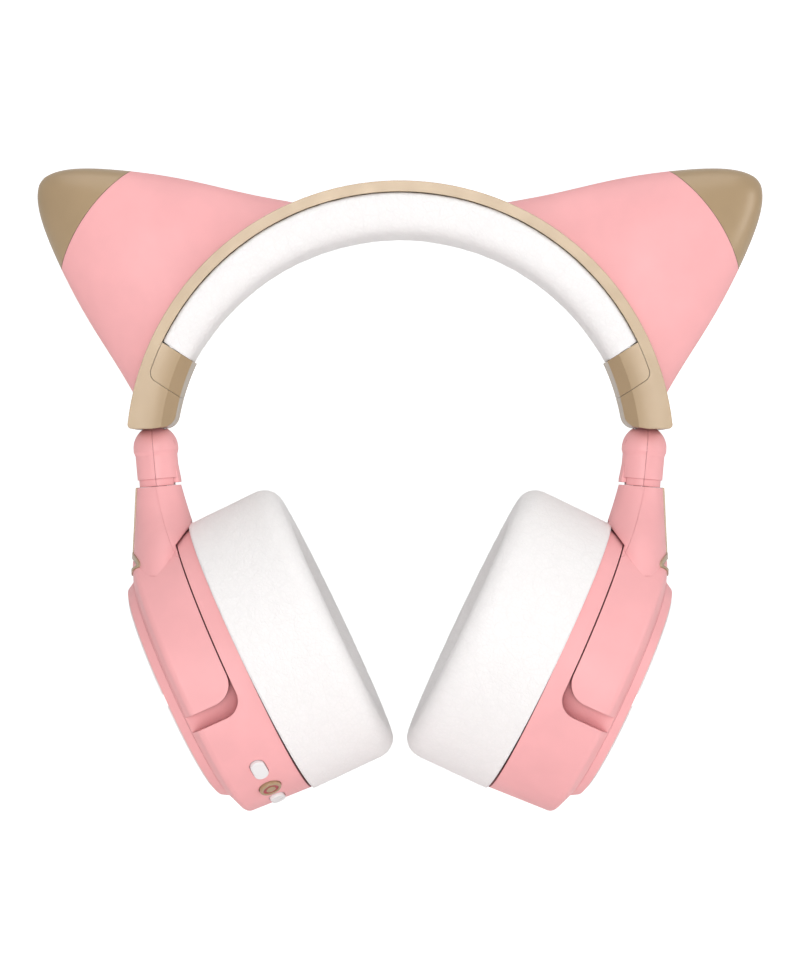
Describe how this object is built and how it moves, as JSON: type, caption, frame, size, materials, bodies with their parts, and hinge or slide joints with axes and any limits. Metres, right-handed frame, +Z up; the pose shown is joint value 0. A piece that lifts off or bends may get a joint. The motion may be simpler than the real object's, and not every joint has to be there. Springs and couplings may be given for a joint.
{
  "type": "gaming headset",
  "caption": "Wireless over-ear gaming headset with cat ears on the headband, sliding arms, swivelling and tilting ear cups, soft cushions and side buttons.",
  "frame": {"origin": "middle of the headset across and fore-and-aft, at the lowest point of the cups at rest", "axes": "+X across the head from ear to ear, towards the wearer's right; +Y ahead of the wearer; +Z up"},
  "size_m": [0.2302, 0.093, 0.2036],
  "materials": {
    "pink_plastic": "satin soft-touch light pink plastic",
    "gold_plastic": "satin champagne gold paint",
    "white_leather": "fine grained white protein leather",
    "white_plastic": "satin white plastic",
    "grey_plastic": "matte dark grey plastic",
    "black_cloth": "fine acoustic mesh cloth",
    "spring_steel": "brushed spring steel",
    "screw_steel": "plated steel",
    "magnet_metal": "nickel-plated ferrite",
    "board": "green solder resist",
    "film": "clear polymer film"
  },
  "bodies": {
    "headband": {"headband_shell": "gold_plastic", "headband_pad": "white_leather", "spring_strip": "spring_steel", "slider_guides": "grey_plastic", "ear_screws": "screw_steel", "end_cover_left": "gold_plastic", "ear_shell_left": "pink_plastic", "ear_tip_left": "gold_plastic", "end_cover_right": "gold_plastic", "ear_shell_right": "pink_plastic", "ear_tip_right": "gold_plastic"},
    "slider_left": {"slider_strip_left": "spring_steel"},
    "knuckle_left": {"knuckle_outer_half_left": "pink_plastic", "knuckle_inner_half_left": "pink_plastic", "hinge_pin_left": "screw_steel", "swivel_bolt_left": "screw_steel"},
    "yoke_left": {"yoke_shell_left": "pink_plastic", "yoke_neck_cover_left": "pink_plastic", "yoke_trim_left": "gold_plastic", "pivot_pins_left": "screw_steel"},
    "cup_left": {"cup_housing_left": "pink_plastic", "cup_cover_left": "pink_plastic", "light_ring_left": "white_plastic", "baffle_left": "grey_plastic", "baffle_screws_left": "screw_steel", "driver_frame_left": "grey_plastic", "driver_magnet_left": "magnet_metal", "driver_diaphragm_left": "film", "grille_cloth_left": "black_cloth", "cushion_ring_left": "grey_plastic", "ear_cushion_left": "white_leather", "circuit_board": "board", "microphone": "magnet_metal", "usb_port": "spring_steel", "audio_jack": "grey_plastic"},
    "slider_right": {"slider_strip_right": "spring_steel"},
    "knuckle_right": {"knuckle_outer_half_right": "pink_plastic", "knuckle_inner_half_right": "pink_plastic", "hinge_pin_right": "screw_steel", "swivel_bolt_right": "screw_steel"},
    "yoke_right": {"yoke_shell_right": "pink_plastic", "yoke_neck_cover_right": "pink_plastic", "yoke_trim_right": "gold_plastic", "pivot_pins_right": "screw_steel"},
    "cup_right": {"cup_housing_right": "pink_plastic", "cup_cover_right": "pink_plastic", "light_ring_right": "white_plastic", "baffle_right": "grey_plastic", "baffle_screws_right": "screw_steel", "driver_frame_right": "grey_plastic", "driver_magnet_right": "magnet_metal", "driver_diaphragm_right": "film", "grille_cloth_right": "black_cloth", "cushion_ring_right": "grey_plastic", "ear_cushion_right": "white_leather", "battery": "film"},
    "volume_up_button_body": {"volume_up_button": "white_plastic"},
    "power_button_body": {"power_button": "gold_plastic"},
    "volume_down_button_body": {"volume_down_button": "white_plastic"}
  },
  "joints": [
    {"name": "extend_left", "type": "slide", "parent": "headband", "child": "slider_left", "axis": [-0.2079, 0, -0.9781], "range_m": [0, 0.02]},
    {"name": "arm_hinge_left", "type": "hinge", "parent": "slider_left", "child": "knuckle_left", "pos_m": [-0.0775, 0, 0.11492], "axis": [0, 1, 0], "range_deg": [0, 15]},
    {"name": "swivel_left", "type": "hinge", "parent": "knuckle_left", "child": "yoke_left", "pos_m": [-0.0775, 0, 0.11492], "axis": [-0.0872, 0, 0.9962], "range_deg": [-10, 90]},
    {"name": "cup_tilt_left", "type": "hinge", "parent": "yoke_left", "child": "cup_left", "pos_m": [-0.0589, 0, 0.04322], "axis": [0, 1, 0], "range_deg": [0, 20]},
    {"name": "extend_right", "type": "slide", "parent": "headband", "child": "slider_right", "axis": [0.2079, 0, -0.9781], "range_m": [0, 0.02]},
    {"name": "arm_hinge_right", "type": "hinge", "parent": "slider_right", "child": "knuckle_right", "pos_m": [0.0775, 0, 0.11492], "axis": [0, -1, 0], "range_deg": [0, 15]},
    {"name": "swivel_right", "type": "hinge", "parent": "knuckle_right", "child": "yoke_right", "pos_m": [0.0775, 0, 0.11492], "axis": [-0.0872, 0, -0.9962], "range_deg": [-10, 90]},
    {"name": "cup_tilt_right", "type": "hinge", "parent": "yoke_right", "child": "cup_right", "pos_m": [0.0589, 0, 0.04322], "axis": [0, -1, 0], "range_deg": [0, 20]},
    {"name": "volume_up_press", "type": "slide", "parent": "cup_left", "child": "volume_up_button_body", "axis": [-0.2881, 0.7193, 0.6321], "range_m": [0, 0.0006], "stiffness_N_per_m": 400},
    {"name": "power_press", "type": "slide", "parent": "cup_left", "child": "power_button_body", "axis": [-0.3536, 0.5225, 0.7759], "range_m": [0, 0.0006], "stiffness_N_per_m": 400},
    {"name": "volume_down_press", "type": "slide", "parent": "cup_left", "child": "volume_down_button_body", "axis": [-0.3944, 0.309, 0.8654], "range_m": [0, 0.0006], "stiffness_N_per_m": 400}
  ]
}
